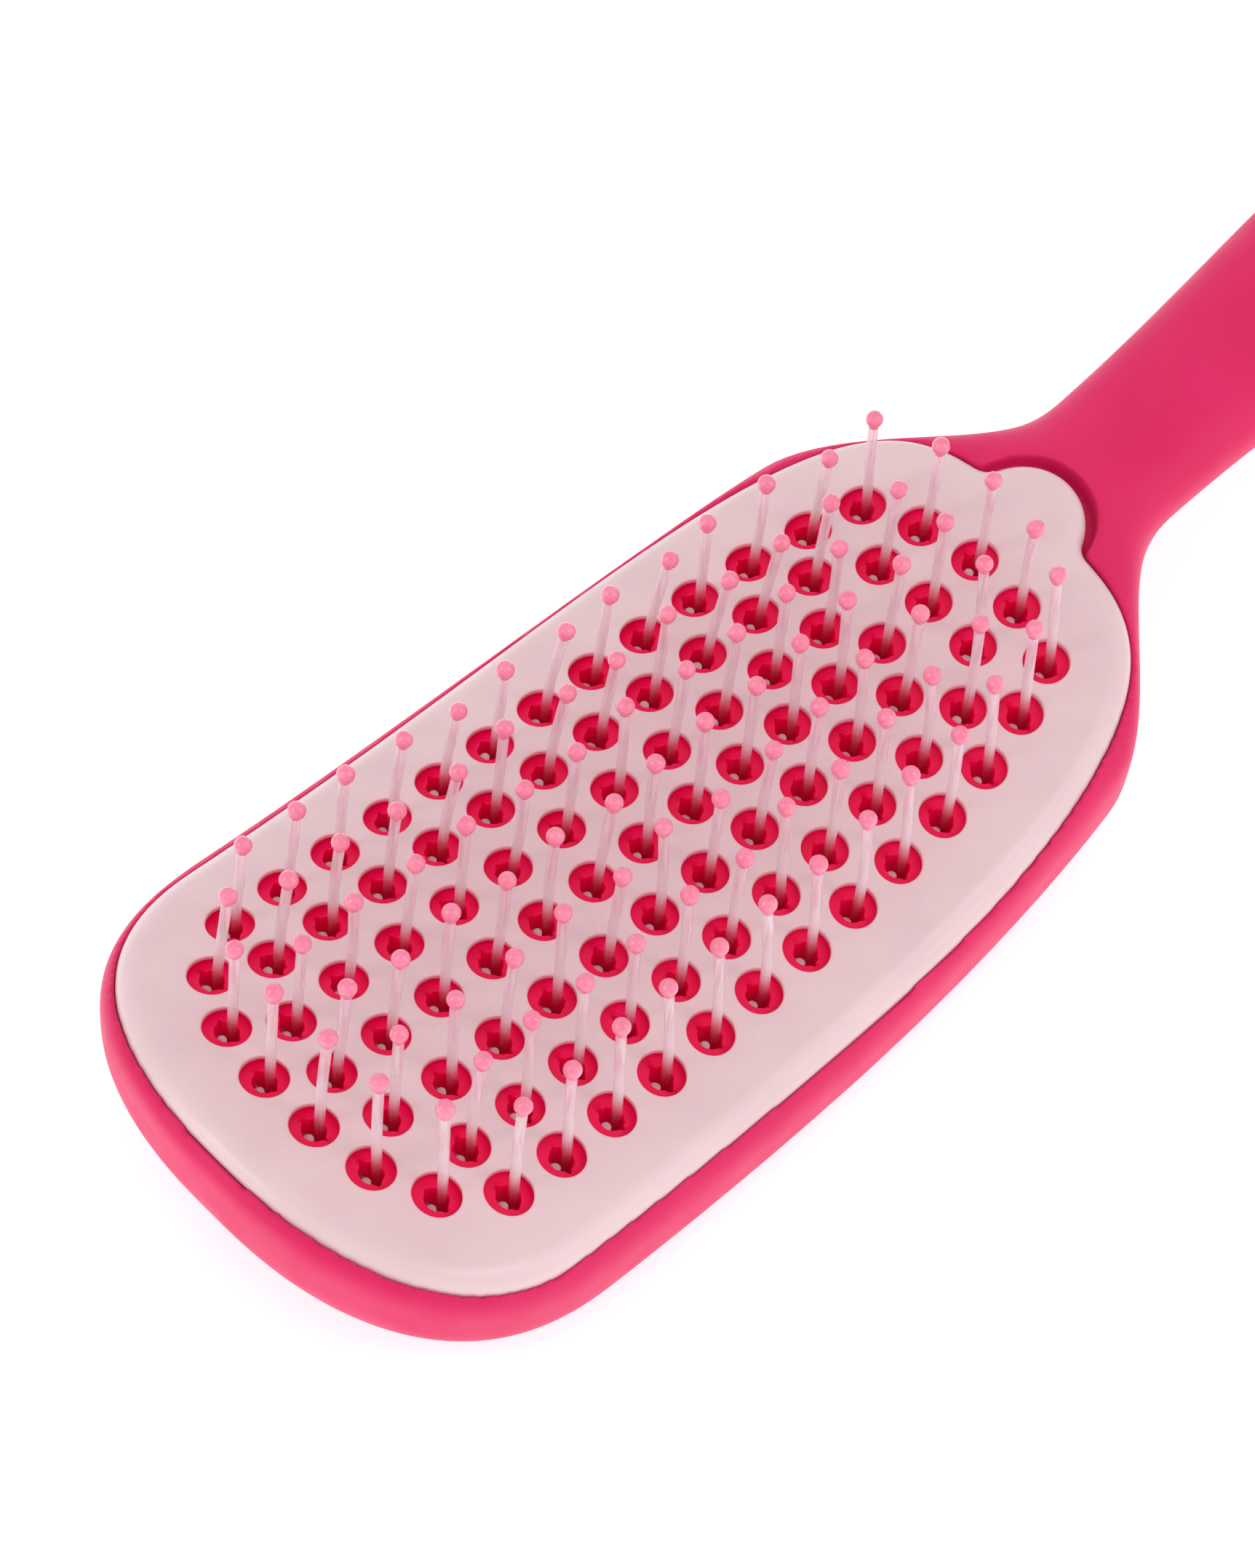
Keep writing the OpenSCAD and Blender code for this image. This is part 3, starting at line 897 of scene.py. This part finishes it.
# ---------------------------------------------------------------- camera and light
def add_camera():
    """A long lens above the toe's right side, rolled a little, looking down at the head."""
    aim = Vector((3.3, 6.1, 16.0)) * MM
    distance = 463.4 * MM
    azimuth = math.radians(40.09)
    down = math.radians(57.2)
    roll = math.radians(6.885)
    level_run = math.cos(down)
    forward = Vector((level_run * math.cos(azimuth), level_run * math.sin(azimuth), -math.sin(down)))
    level = forward.cross(Vector((0, 0, 1))).normalized()
    upright = level.cross(forward)
    right = level * math.cos(roll) + upright * math.sin(roll)
    up = right.cross(forward)
    data = bpy.data.cameras.new("camera")
    data.sensor_width = 36
    data.lens = 103.22
    data.clip_start = 10 * MM
    camera = bpy.data.objects.new("camera", data)
    camera.matrix_world = Matrix.LocRotScale(
        aim - forward * distance, Matrix((right, up, -forward)).transposed(), None)
    bpy.context.scene.collection.objects.link(camera)
    bpy.context.scene.camera = camera


def add_softbox(name, direction, size, watts):
    """A round lamp that shines from a direction towards the head."""
    data = bpy.data.lights.new(name, "AREA")
    data.shape = "DISK"
    data.size = size
    data.energy = watts
    lamp = bpy.data.objects.new(name, data)
    lamp.location = Vector(direction).normalized() * LAMP_AWAY
    lamp.rotation_euler = Vector(direction).to_track_quat("Z", "Y").to_euler()
    bpy.context.scene.collection.objects.link(lamp)


def add_floor():
    """A round sheet of paper just under the brush."""
    skin = Skin()
    rings = [skin.add(at_height(circle((0, 0), r, 64), FLOOR_Z)) for r in (2.0, 0.5)]
    skin.bridge(rings)
    skin.fan(rings[-1], (0, 0, FLOOR_Z))
    floor = skin.piece("floor")
    dress(floor, floor_paper())


def add_world():
    """Even white light from all round."""
    world = bpy.data.worlds.new("studio")
    world.use_nodes = True
    background = world.node_tree.nodes["Background"]
    background.inputs["Color"].default_value = (1, 1, 1, 1)
    background.inputs["Strength"].default_value = 0.8
    bpy.context.scene.world = world


bpy.context.scene.view_settings.view_transform = "Standard"
add_camera()
add_world()
add_floor()
add_softbox("softbox_left", (-0.687, 0.30, 0.684), size=0.3, watts=0.7)
add_softbox("softbox_right", (0.252, -0.61, 0.769), size=0.3, watts=0.7)
add_softbox("rim_light_side", (0.414, -0.817, 0.36), size=0.4, watts=0.5)
add_softbox("rim_light_toe", (-0.817, 0.349, 0.40), size=0.4, watts=0.5)

# ---------------------------------------------------------------- the brush
paint = soft_touch()
place(build_body(), paint, "body", "brush", "soft_touch")
place(build_cover(), paint, "back_cover", "brush", "soft_touch")
place(build_bed(), bed_rubber(), "bristle_bed", "brush", "bed")
place(build_plate(), plate_plastic(), "cleaning_plate", "plate", "plate")

nylon = clear_nylon()
dip = ball_dip()
steel = anchor_steel()
draws = random.Random(3)
for row in ROWS:
    tufts = [Tuft(centre, draws) for centre in TUFTS[row]]
    place(build_filaments(row, tufts), nylon, "filaments_" + row, "brush", "nylon")
    place(build_tips(row, tufts), dip, "ball_tips_" + row, "brush", "ball")
    dress(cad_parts["anchors_" + row], steel)
